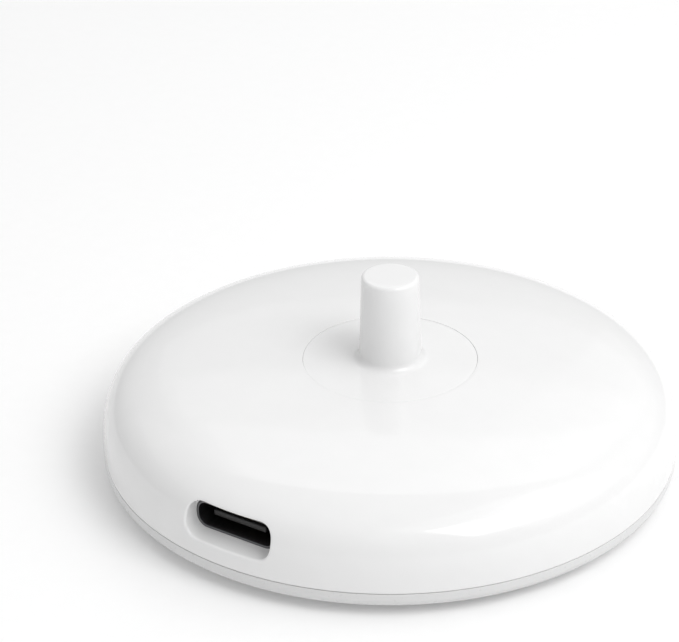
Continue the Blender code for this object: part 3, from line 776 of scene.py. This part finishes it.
@dataclass
class DomeShell:
    """The glossy upper half of the case, with the port and the seat of the post's disc.

    Args:
        shape: Its outer form.
        port: Its opening.
        seam_radius: Middle of the seam round the disc.
        wall: Wall thickness.
        skin_overlap: How far the collar goes past the wall.
        seat_depth: How deep the disc's seat lies.
        ledge: Width and thickness of the ledge under the disc.
        steps: Segments round the axis.
        rows: Segments of the outline by radius and by height.
        port_rows: Rings of points up to the lip, over it and along the port's recess.
        turn_height: Where the outline's points change from radius to height.
        window: Half width in steps, lowest and highest place of the outer skin's opening.
        inner_window: The same of the inner skin's opening.
    """

    shape: DomeShape
    port: Port
    seam_radius: float
    wall: float = WALL
    skin_overlap: float = 0.034 * MM
    seat_depth: float = 1.45 * MM
    ledge: Size = (1.35 * MM, 1.0 * MM)
    steps: int = 400
    rows: tuple[int, int] = (46, 30)
    port_rows: tuple[int, int, int] = (6, 8, 5)
    turn_height: float = 10.9 * MM
    window: tuple[int, float, float] = (15, 3.9 * MM, 10.35 * MM)
    inner_window: tuple[int, float, float] = (15, 3.7 * MM, 10.5 * MM)

    def build(self) -> Piece:
        """Builds the shell and dresses it.

        Returns:
            The piece.
        """
        bm = bmesh.new()
        outer, inner, closing = self.outlines()
        turn(bm, outer + closing[0] + inner + closing[1], self.steps, closed=True)
        self.cut_port(bm)
        return finished(bm, "dome_shell", GLOSS_WHITE, ("top_shell",))

    def outlines(self) -> tuple[list[Vector], list[Vector], tuple[list[Vector], list[Vector]]]:
        """Draws the section of the shell.

        Returns:
            The outer skin, the inner skin from its foot up, and what joins them at the
            foot and at the disc's seat.
        """
        bore = self.seam_radius + SEAM_WIDTH / 2
        foot = PARTING_HEIGHT + PARTING_WIDTH / 2
        outer = self.shape.outline(bore + BROKEN_EDGE, self.turn_height, foot + BROKEN_EDGE, self.rows)
        inner = list(reversed(inset_outline(outer, self.wall)))
        foot_radius = self.shape.radius_at(foot + BROKEN_EDGE)
        foot_edge = arc((foot_radius - BROKEN_EDGE, foot + BROKEN_EDGE), BROKEN_EDGE, -20, -90, 3)
        inner[0] = section(inner[0].x, foot)
        top = self.shape.height(bore + BROKEN_EDGE)
        ledge_width, ledge_thickness = self.ledge
        seat = top - self.seat_depth
        ledge_foot = seat - ledge_thickness
        rim = inner[-1]
        inner[-1] = section(max(rim.x, bore + ledge_width / 2), ledge_foot)
        seat_corners = [
            section(bore - ledge_width, ledge_foot), section(bore - ledge_width, seat),
            section(bore, seat),
        ]
        lead_in = arc((bore + BROKEN_EDGE, top - BROKEN_EDGE), BROKEN_EDGE, 180, 110, 3)
        return outer, inner, (foot_edge, seat_corners + lead_in)

    def stretch(self, bm: Mesh, skin: Skin, window: tuple[int, float, float]) -> list[Face]:
        """Finds the faces of one skin in front of the receptacle.

        Args:
            bm: The mesh.
            skin: Which skin of the wall.
            window: Half width in steps, lowest and highest place.

        Returns:
            The faces.
        """
        half_turn = window[0] * FULL_TURN / self.steps
        found = []
        for face in bm.faces:
            middle = face.calc_center_median()
            if window[1] < middle.z < window[2] and middle.y < -self.shape.radius / 2:
                depth = self.shape.radius_at(middle.z) - math.hypot(middle.x, middle.y)
                side = Skin.OUTER if depth < self.wall / 2 else Skin.INNER
                if side is skin and abs(math.atan2(middle.x, -middle.y)) < half_turn:
                    found.append(face)
        return found

    def cut_port(self, bm: Mesh) -> None:
        """Opens the wall and draws the lip, the recess and the collar ring by ring.

        Args:
            bm: The mesh.
        """
        port = self.port
        inner_rim = open_window(bm, self.stretch(bm, Skin.INNER, self.inner_window))
        rim = open_window(bm, self.stretch(bm, Skin.OUTER, self.window))
        spoke = bm.verts.layers.int.new("spoke")
        verts = sorted(
            {vert for edge in rim for vert in edge.verts},
            key=lambda vert: math.atan2(vert.co.z - port.height, vert.co.x),
        )
        starts = [vert.co.copy() for vert in verts]
        for number, vert in enumerate(verts):
            vert[spoke] = number
        rings = PortRings(self.shape, port, self.wall + self.skin_overlap, starts)
        sleeve = [size + 2 * port.sleeve_gap for size in port.receptacle]
        collar = port.grown(port.collar_wall)
        stages = zip((rings.towards_lip, rings.over_lip, rings.along_recess), self.port_rows)
        places = [
            partial(stage, share=share)
            for stage, rows in stages
            for share in stretch_of(0.0, 1.0, rows)[1:]
        ]
        places += [
            partial(rings.flat, size=sleeve, y=port.back),
            partial(rings.flat, size=sleeve, y=port.collar_end),
            partial(rings.flat, size=collar, y=port.collar_end),
            partial(rings.on_inner_skin, size=collar),
        ]
        for place in places:
            rim = new_ring(bm, rim, place, spoke)
        bmesh.ops.bridge_loops(bm, edges=rim + inner_rim)


@dataclass
class Post:
    """The charging post in one piece with its disc.

    Args:
        shape: The dome's form, which the disc follows.
        disc_radius: Outer radius of the disc.
        top: Height of the post's flat top.
        top_radius: Radius at the top, where the side would meet it.
        draft: How much wider the post is at its foot.
        top_round: Radius of the round at the top.
        foot_round: Radius of the round at the foot.
        edge: Radius of the disc's broken edge.
        foot_stop: Angle at which the foot's round meets the disc, in degrees.
        foot_lead: Width of the step from the foot's round to the disc's surface.
        sink: How much lower the disc lies than the dome round it.
        thickness: Thickness of the disc.
        bore: Radius of the hollow for the core.
        roof: Thickness of the post's roof.
        steps: Segments round the axis.
    """

    shape: DomeShape
    disc_radius: float
    top: float
    top_radius: float = 3.23 * MM
    draft: float = 0.25 * MM
    top_round: float = 0.44 * MM
    foot_round: float = 0.88 * MM
    edge: float = 0.02 * MM
    foot_stop: float = 268.0
    foot_lead: float = 0.1 * MM
    sink: float = 0.05 * MM
    thickness: float = 1.3 * MM
    bore: float = 2.33 * MM
    roof: float = 1.2 * MM
    steps: int = 256

    def build(self) -> Piece:
        """Builds the post and dresses it.

        Returns:
            The piece.
        """
        bm = bmesh.new()
        turn(bm, self.outline(), self.steps, closed=False)
        return finished(bm, "post_and_disc", GLOSS_WHITE, ("post_cap",))

    def outline(self) -> list[Vector]:
        """Draws the section from the middle of the top round to the middle of the roof.

        Returns:
            Its points in the turning plane.
        """
        lean = math.degrees(math.atan(self.draft / (self.top - self.shape.top)))
        foot_radius = self.top_radius + self.draft
        fillet_centre = foot_radius + self.foot_round
        foot_height = self.shape.height(fillet_centre) - self.sink
        round_centre = (self.top_radius - self.top_round, self.top - self.top_round)
        points = [section(r, self.top) for r in stretch_of(0.0, round_centre[0], 4)[:-1]]
        points += arc(round_centre, self.top_round, 90, lean, 8)
        foot_centre = (fillet_centre, foot_height + self.foot_round)
        side_top = points[-1]
        foot_arc = arc(foot_centre, self.foot_round, 180 + lean, self.foot_stop, 10)
        points += [side_top.lerp(foot_arc[0], share) for share in stretch_of(0.0, 1.0, 6)[1:-1]]
        points += foot_arc
        edge_centre = self.disc_radius - self.edge
        points += [
            section(r, self.shape.height(r) - self.sink)
            for r in stretch_of(fillet_centre + self.foot_lead, edge_centre, 12)
        ]
        rim_height = self.shape.height(edge_centre) - self.sink
        points += arc((edge_centre, rim_height - self.edge), self.edge, 70, 0, 3)
        under = rim_height - self.thickness
        points += [
            section(self.disc_radius, under), section(self.bore, under),
            section(self.bore, self.top - self.roof), section(0.0, self.top - self.roof),
        ]
        return points


@dataclass
class ArcBand:
    """A flat band that follows an arc round the axis and has rounded corners.

    Args:
        inner: Inner radius.
        outer: Outer radius.
        half_angle: Half of its turn.
        corner: Radius of its corners.
        height: Height of the sheet.
        steps: Segments along the arc.
        corner_steps: Segments of each corner.
    """

    inner: float
    outer: float
    half_angle: float
    corner: float
    height: float
    steps: int = 72
    corner_steps: int = 8

    def fillet(self, radius: float, side: int) -> tuple[float, list[Vector]]:
        """Draws one rounded corner, from the band's arc to its end.

        Args:
            radius: Radius of the arc.
            side: 1 at the inner arc and -1 at the outer.

        Returns:
            The angle at which the arc stops, and the corner's points.
        """
        centre_radius = radius + side * self.corner
        stop = self.half_angle - math.asin(self.corner / centre_radius)
        centre = polar(centre_radius, stop, self.height)
        first = stop + (math.pi if side > 0 else 0.0)
        angles = stretch_of(first, self.half_angle + math.pi / 2, self.corner_steps)
        return stop, [centre + polar(self.corner, angle) for angle in angles]

    def sheet(self, bm: Mesh, middle: float) -> list[Face]:
        """Makes the flat sheet.

        Args:
            bm: The mesh that takes it.
            middle: Angle of its middle, from +X.

        Returns:
            Its one face, in a list.
        """
        inner_stop, inner_corner = self.fillet(self.inner, 1)
        outer_stop, outer_corner = self.fillet(self.outer, -1)
        inner_arc = stretch_of(0.0, inner_stop, self.steps // 2)[:-1]
        outer_arc = stretch_of(outer_stop, 0.0, self.steps // 2)[1:]
        side = [polar(self.inner, angle, self.height) for angle in inner_arc]
        side += inner_corner + outer_corner[::-1]
        side += [polar(self.outer, angle, self.height) for angle in outer_arc]
        mirrored = [Vector((point.x, -point.y, point.z)) for point in side[-2:0:-1]]
        turned = Matrix.Rotation(middle, 3, "Z")
        return [bm.faces.new([bm.verts.new(turned @ point) for point in side + mirrored])]


@dataclass
class FootPad:
    """A dark rubber pad under one side of the dock.

    Args:
        band: Its outline.
        name: The piece's name.
        stands_for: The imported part.
        middle: Angle of its middle, from +X.
        thickness: How thick it is.
        edge: Radius of the round on its outer edge.
        rim_turn: Least angle between the faces at its rim, in radians.
    """

    band: ArcBand
    name: str
    stands_for: str
    middle: float
    thickness: float
    edge: float = 0.15 * MM
    rim_turn: float = 1.0

    def build(self) -> Piece:
        """Builds the pad and dresses it.

        Returns:
            The piece.
        """
        bm = bmesh.new()
        faces = self.band.sheet(bm, self.middle)
        made = bmesh.ops.extrude_face_region(bm, geom=faces)["geom"]
        raised = [item for item in made if isinstance(item, Vert)]
        bmesh.ops.translate(bm, verts=raised, vec=(0, 0, self.thickness))
        bmesh.ops.recalc_face_normals(bm, faces=bm.faces)
        rim = [
            edge
            for edge in bm.edges
            if len(edge.link_faces) == 2
            and edge.calc_face_angle(0.0) > self.rim_turn
            and edge.verts[0].co.z == edge.verts[1].co.z
        ]
        round_edges(bm, rim, self.edge, 4)
        return finished(bm, self.name, RUBBER, (self.stands_for,))


@dataclass
class BaseCover:
    """The lower half of the case, with a recess for each pad.

    Args:
        shape: The dome's form, which its rim follows.
        underside_height: Height of the flat underside.
        recess: Outline of a pad's recess.
        recess_depth: How deep it is.
        underside_radius: Where the flat underside ends.
        flat_rim: Width of the underside's own ring round the filled middle.
        floor_top: Height of the floor inside.
        wall: Thickness of the rim.
        recess_edge: Radius of the round at the recess's mouth.
        recess_rim: Width of the flat ring before that round.
        recess_draft: How much narrower the recess is at its floor.
        steps: Segments round the axis.
    """

    shape: DomeShape
    underside_height: float
    recess: ArcBand
    recess_depth: float
    underside_radius: float = 28.2 * MM
    flat_rim: float = 0.15 * MM
    floor_top: float = 2.15 * MM
    wall: float = WALL
    recess_edge: float = 0.15 * MM
    recess_rim: float = 0.05 * MM
    recess_draft: float = 0.02 * MM
    steps: int = 320

    def build(self) -> Piece:
        """Builds the cover and dresses it.

        Returns:
            The piece.
        """
        bm = bmesh.new()
        turn(bm, self.outline(), self.steps, closed=False)
        rims = [edge for edge in bm.edges if edge.is_boundary]
        for middle in (0.0, math.pi):
            rims += self.sink_recess(bm, middle)
        bmesh.ops.triangle_fill(bm, edges=rims, use_beauty=True, normal=(0, 0, -1))
        # The cover's darker white is painted shade of the band under the widest circle.
        return finished(bm, "base_cover", SATIN_WHITE_PAINTED_SHADE, ("bottom_cover",))

    def outline(self) -> list[Vector]:
        """Draws the section from the edge of the underside to the middle of the floor.

        Returns:
            Its points in the turning plane.
        """
        side = self.shape.radius - self.underside_radius
        rise = self.shape.widest_height - self.underside_height
        top = PARTING_HEIGHT - PARTING_WIDTH / 2
        points = [section(self.underside_radius - self.flat_rim, self.underside_height)]
        points += [
            Vector(
                (
                    self.underside_radius + side * math.sin(a), 0.0,
                    self.shape.widest_height - rise * math.cos(a),
                )
            )
            for a in stretch_of(0.0, math.pi / 2, 24)
        ]
        edge_height = top - BROKEN_EDGE
        edge_radius = self.shape.radius_at(edge_height)
        points += [
            section(self.shape.radius_at(z), z)
            for z in stretch_of(self.shape.widest_height, edge_height, 4)[1:-1]
        ]
        points += arc((edge_radius - BROKEN_EDGE, edge_height), BROKEN_EDGE, 0, 90, 3)
        inner_radius = self.shape.radius - self.wall
        points += [
            section(inner_radius, top), section(inner_radius, self.floor_top),
            section(0.0, self.floor_top),
        ]
        return points

    def sink_recess(self, bm: Mesh, middle: float) -> list[Edge]:
        """Sinks the recess of one pad into the underside.

        Args:
            bm: The mesh.
            middle: Angle of its middle, from +X.

        Returns:
            The edges of the recess's mouth.
        """
        faces = self.recess.sheet(bm, middle)
        bmesh.ops.recalc_face_normals(bm, faces=faces)
        if faces[0].normal.z > 0:
            bmesh.ops.reverse_faces(bm, faces=faces)
        mouth = [edge for face in faces for edge in face.edges if edge.is_boundary]
        moves = [(self.recess_rim, 0.0), *quarter_steps(self.recess_edge, 5)]
        moves.append((self.recess_draft, self.recess_depth - self.recess_edge))
        for thickness, drop in moves:
            bmesh.ops.inset_region(
                bm, faces=faces, thickness=thickness, depth=-drop, use_boundary=True,
                use_even_offset=True,
            )
        return mouth


@dataclass
class Receptacle:
    """The steel receptacle with its tongue and contacts.

    Args:
        height: Height of its middle.
        width: Outer width.
        thickness: Outer height.
        front: Where its mouth is, along Y.
        back: Where it ends, along Y.
        tongue_front: Where the tongue starts, along Y.
        sheet: Thickness of the steel.
        rim_round: Radius of the rounds on both sides of its mouth's rim.
        draft: How much narrower the inside is at the back.
        tongue_width: Width of the tongue.
        tongue_thickness: Thickness of the tongue.
        tongue_round: Radius of its rounded edges.
        tongue_gap: Gap behind the tongue.
        contacts: Contacts on each side of the tongue.
        contact_pitch: Distance from contact to contact.
        contact_size: Width, length and thickness of a contact.
        contact_start: How far behind the tongue's front the contacts start.
        end_steps: Segments of each round end.
    """

    height: float
    width: float
    thickness: float
    front: float
    back: float
    tongue_front: float
    sheet: float = 0.3 * MM
    rim_round: float = 0.08 * MM
    draft: float = 0.01 * MM
    tongue_width: float = 6.7 * MM
    tongue_thickness: float = 0.7 * MM
    tongue_round: float = 0.15 * MM
    tongue_gap: float = 0.05 * MM
    contacts: int = 12
    contact_pitch: float = 0.5 * MM
    contact_size: tuple[float, float, float] = (0.26 * MM, 3.2 * MM, 0.04 * MM)
    contact_start: float = 0.45 * MM
    end_steps: int = 32

    def build(self) -> list[Piece]:
        """Builds the steel shell, the tongue and the contacts."""
        return [self.build_shell(), self.build_tongue(), self.build_contacts()]

    def slot_sheet(self, bm: Mesh, width: float, thickness: float, y: float) -> Face:
        """Makes a flat round-ended face across the Y axis.

        Args:
            bm: The mesh that takes it.
            width: Its width.
            thickness: Its height.
            y: Where it stands.

        Returns:
            The face, which looks towards the front.
        """
        bmesh.ops.create_circle(bm, cap_ends=True, radius=1.0, segments=2 * self.end_steps)
        bm.faces.ensure_lookup_table()
        face = bm.faces[-1]
        form = SlotForm(width, thickness)
        for vert in face.verts:
            x, z = form.place(math.atan2(vert.co.y, vert.co.x))
            vert.co = Vector((x, y, self.height + z))
        return face

    def build_shell(self) -> Piece:
        """Builds the drawn steel shell, open at the front.

        Returns:
            The piece.
        """
        bm = bmesh.new()
        face = self.slot_sheet(bm, self.width, self.thickness, self.back)
        face.normal_update()
        made = bmesh.ops.extrude_face_region(bm, geom=[face])["geom"]
        front_verts = [item for item in made if isinstance(item, Vert)]
        bmesh.ops.translate(bm, verts=front_verts, vec=(0, self.front - self.back, 0))
        bmesh.ops.recalc_face_normals(bm, faces=bm.faces)
        mouth = max(
            (item for item in bm.faces if len(item.verts) > 4),
            key=lambda item: -item.calc_center_median().y,
        )
        moves = quarter_steps(self.rim_round, 2)
        inward = [(drop, side) for side, drop in moves]
        inward.append((self.sheet - 2 * self.rim_round, 0.0))
        inward += [(side, -drop) for side, drop in moves]
        inward.append((self.draft, self.front + self.sheet - self.back))
        for thickness, rise in inward:
            bmesh.ops.inset_region(
                bm, faces=[mouth], thickness=thickness, depth=rise, use_even_offset=True
            )
        return finished(bm, "receptacle_shell", DARK_STEEL, ("usb_shell",))

    def build_tongue(self) -> Piece:
        """Builds the black tongue that carries the contacts.

        Returns:
            The piece.
        """
        bm = bmesh.new()
        length = self.back - self.sheet - self.tongue_gap - self.tongue_front
        bmesh.ops.create_cube(
            bm,
            size=1.0,
            matrix=Matrix.Translation((0, self.tongue_front + length / 2, self.height))
            @ Matrix.Diagonal((self.tongue_width, length, self.tongue_thickness, 1)),
        )
        round_edges(bm, bm.edges[:], self.tongue_round, 3)
        return finished(bm, "receptacle_tongue", BLACK, ("usb_tongue",))

    def build_contacts(self) -> Piece:
        """Builds the row of contacts on both sides of the tongue.

        Returns:
            The piece.
        """
        bm = bmesh.new()
        first = -self.contact_pitch * (self.contacts - 1) / 2
        width, length, thickness = self.contact_size
        middle = self.tongue_front + self.contact_start + length / 2
        lift = (self.tongue_thickness + thickness) / 2
        scale = Matrix.Diagonal((width, length, thickness, 1))
        for side in (-1, 1):
            for number in range(self.contacts):
                across = first + number * self.contact_pitch
                place = Matrix.Translation((across, middle, self.height + side * lift))
                bmesh.ops.create_cube(bm, size=1.0, matrix=place @ scale)
        return finished(bm, "receptacle_contacts", GOLD)


@dataclass
class InnerParts:
    """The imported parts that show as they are, each in the finish of its slot.

    Args:
        finishes: The finish of each material slot.
        special: Finishes of single parts that differ from their slot's.
    """

    finishes: dict[str, Finish] = field(default_factory=lambda: dict(SLOT_FINISHES))
    special: dict[str, Finish] = field(
        default_factory=lambda: {"coil_lead_start": LEAD_WIRE, "coil_lead_end": LEAD_WIRE}
    )

    def dress(self) -> None:
        """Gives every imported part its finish."""
        slots = {part["node"]: part["material_slot"] for part in frame["record"]["subparts"]}
        for name, node in frame["nodes"].items():
            finish = self.special.get(name) or self.finishes[slots[name]]
            node.data.materials.clear()
            node.data.materials.append(finish.material())
            LOG.info("%s: dressed in %s", name, finish.name)


@dataclass(frozen=True)
class SoftLight:
    """A square soft light aimed at the dock.

    Args:
        name: Its name.
        turn: Where it stands, in degrees round the dock from the camera, to the right.
        elevation: How high it stands, in degrees.
        spread: How wide and high it looks from the dock, in degrees.
        brightness: Its radiance, beside 1 for white paper in full light.
    """

    name: str
    turn: float
    elevation: float
    spread: Size
    brightness: float

    def sizes(self, distance: float) -> Size:
        """Gives its width and height at a distance."""
        return tuple(2 * distance * math.tan(math.radians(angle / 2)) for angle in self.spread)

    def power(self, distance: float) -> float:
        """Gives its power in watts at a distance."""
        width, height = self.sizes(distance)
        return math.pi * width * height * self.brightness


@dataclass
class Studio:
    """The pale floor, the soft lights and the camera.

    Args:
        target_height: Height of the place that the camera and the lights look at.
        azimuth: The camera's turn to the right of the port, in degrees.
        elevation: The camera's height above the horizon, in degrees.
        distance: The camera's distance from the target.
        lens: Focal length on the standard sensor.
        shift: Framing of the dock to the lower right.
        ambient: Strength of the white surroundings.
        light_distance: How far off the lights stand, in metres.
        floor_glow: Light the floor gives off, as paper lit from below does.
        floor_gap: How far the floor lies below the pads.
        floor_reach: How far it goes on each side, in metres.
        clip: Nearest and farthest distance that the camera shows, in metres.
        lights: The soft lights.
    """

    target_height: float = 6.85 * MM
    azimuth: float = 32.5
    elevation: float = 30.5
    distance: float = 292.5 * MM
    lens: float = 136.76
    shift: Size = (-0.0746, 0.121)
    ambient: float = 0.515
    light_distance: float = 0.5
    floor_glow: float = 0.11
    floor_gap: float = 0.02 * MM
    floor_reach: float = 6.0
    clip: Size = (0.01, 20.0)
    lights: tuple[SoftLight, ...] = (
        SoftLight("key_high", 65.0, 55.0, (52.0, 52.0), 0.62),
        SoftLight("key_side", 80.0, 45.0, (50.0, 50.0), 0.52),
        SoftLight("key_centre", 50.0, 50.0, (30.0, 30.0), 3.3),
        SoftLight("front_light", 15.0, 52.0, (40.0, 40.0), 0.22),
        SoftLight("back_high", 172.0, 50.0, (40.0, 20.0), 0.34),
        SoftLight("back_middle", 172.0, 46.0, (46.0, 28.0), 0.22),
        SoftLight("back_low", 172.0, 41.0, (52.0, 38.0), 0.19),
        SoftLight("right_wide", 140.0, 40.0, (48.0, 48.0), 0.15),
        SoftLight("right_centre", 140.0, 40.0, (30.0, 30.0), 0.28),
        SoftLight("left_wide", -110.0, 60.0, (64.0, 54.0), 0.20),
        SoftLight("left_centre", -110.0, 60.0, (40.0, 32.0), 0.32),
    )

    def aimed(self, turn: float, elevation: float, distance: float) -> Matrix:
        """Gives the pose of a camera or a light that looks at the dock.

        Args:
            turn: Degrees round the dock from the camera, to the right.
            elevation: Degrees above the horizon.
            distance: Distance from the place it looks at.

        Returns:
            Its matrix in the world.
        """
        around, up = math.radians(self.azimuth + turn), math.radians(elevation)
        towards = polar(math.cos(up), around - math.pi / 2, math.sin(up))
        place = Vector((0.0, 0.0, self.target_height)) + towards * distance
        return Matrix.LocRotScale(place, towards.to_track_quat("Z", "Y"), None)

    def build(self) -> None:
        """Builds the floor, the lights, the surroundings and the camera."""
        self.build_floor()
        self.build_surroundings()
        for light in self.lights:
            self.build_light(light)
        self.build_camera()
        bpy.context.scene.view_settings.view_transform = "Standard"

    def build_floor(self) -> None:
        """Builds the plain floor."""
        bm = bmesh.new()
        bmesh.ops.create_grid(
            bm, x_segments=1, y_segments=1, size=self.floor_reach,
            matrix=Matrix.Translation((0.0, 0.0, -self.floor_gap)),
        )
        mesh = bpy.data.meshes.new("floor")
        bm.to_mesh(mesh)
        bm.free()
        floor = placed("floor", mesh)
        paper = Finish("white_paper", grey(0.85), grey(0.84), (0.9, 0.95), 2.0 * MM, 0.0)
        material = paper.material()
        shader = material.node_tree.nodes["Principled BSDF"]
        shader.inputs["Emission Color"].default_value = (1.0, 1.0, 1.0, 1.0)
        shader.inputs["Emission Strength"].default_value = self.floor_glow
        mesh.materials.append(material)

    def build_surroundings(self) -> None:
        """Lights the dock evenly from all round."""
        world = bpy.data.worlds.new("studio")
        world.use_nodes = True
        background = world.node_tree.nodes["Background"]
        background.inputs["Color"].default_value = (1.0, 1.0, 1.0, 1.0)
        background.inputs["Strength"].default_value = self.ambient
        bpy.context.scene.world = world

    def build_light(self, light: SoftLight) -> None:
        """Builds one soft light.

        Args:
            light: Its sizes and place.
        """
        data = bpy.data.lights.new(light.name, "AREA")
        data.shape = "RECTANGLE"
        data.size, data.size_y = light.sizes(self.light_distance)
        data.energy = light.power(self.light_distance)
        placed(light.name, data, self.aimed(light.turn, light.elevation, self.light_distance))

    def build_camera(self) -> None:
        """Builds the camera and makes it the scene's own."""
        data = bpy.data.cameras.new("camera")
        data.lens = self.lens
        data.shift_x, data.shift_y = self.shift
        data.clip_start, data.clip_end = self.clip
        pose = self.aimed(0.0, self.elevation, self.distance)
        bpy.context.scene.camera = placed("camera", data, pose)


def main() -> None:
    """Builds the dock's sub-assemblies in order, dresses the rest and sets up the studio."""
    logging.basicConfig(level=logging.INFO, format="%(name)s %(message)s")
    cover_low, cover_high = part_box("bottom_cover")
    cap_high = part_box("post_cap")[1]
    port_low, port_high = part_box("usb_shell")
    tongue_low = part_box("usb_tongue")[0]
    pad_low, pad_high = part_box("right_foot_pad")
    port_height = (port_low.z + port_high.z) / 2
    receptacle_size = (port_high.x - port_low.x, port_high.z - port_low.z)
    seam_radius = cap_high.x + PACKED_GAP / 2

    shape = DomeShape(radius=cover_high.x)
    port = Port(port_height, receptacle_size, back=port_low.y)
    pad_inner = pad_high.x - PAD_WIDTH
    pad_band = ArcBand(pad_inner, pad_high.x, PAD_HALF_ANGLE, PAD_CORNER, pad_low.z)
    recess = ArcBand(
        pad_inner - RECESS_MARGIN, pad_high.x + RECESS_MARGIN, RECESS_HALF_ANGLE, RECESS_CORNER,
        cover_low.z,
    )
    recess_depth = pad_high.z + PACKED_GAP - cover_low.z
    pad_thickness = pad_high.z - pad_low.z
    DomeShell(shape, port, seam_radius).build()
    Post(shape, seam_radius - SEAM_WIDTH / 2, cap_high.z).build()
    BaseCover(shape, cover_low.z, recess, recess_depth).build()
    for name, stands_for, middle in (
        ("right_pad", "right_foot_pad", 0.0),
        ("left_pad", "left_foot_pad", math.pi),
    ):
        FootPad(pad_band, name, stands_for, middle, pad_thickness).build()
    Receptacle(port_height, *receptacle_size, port_low.y, port_high.y, tongue_low.y).build()
    InnerParts().dress()
    Studio().build()


if __name__ == "__main__":
    main()
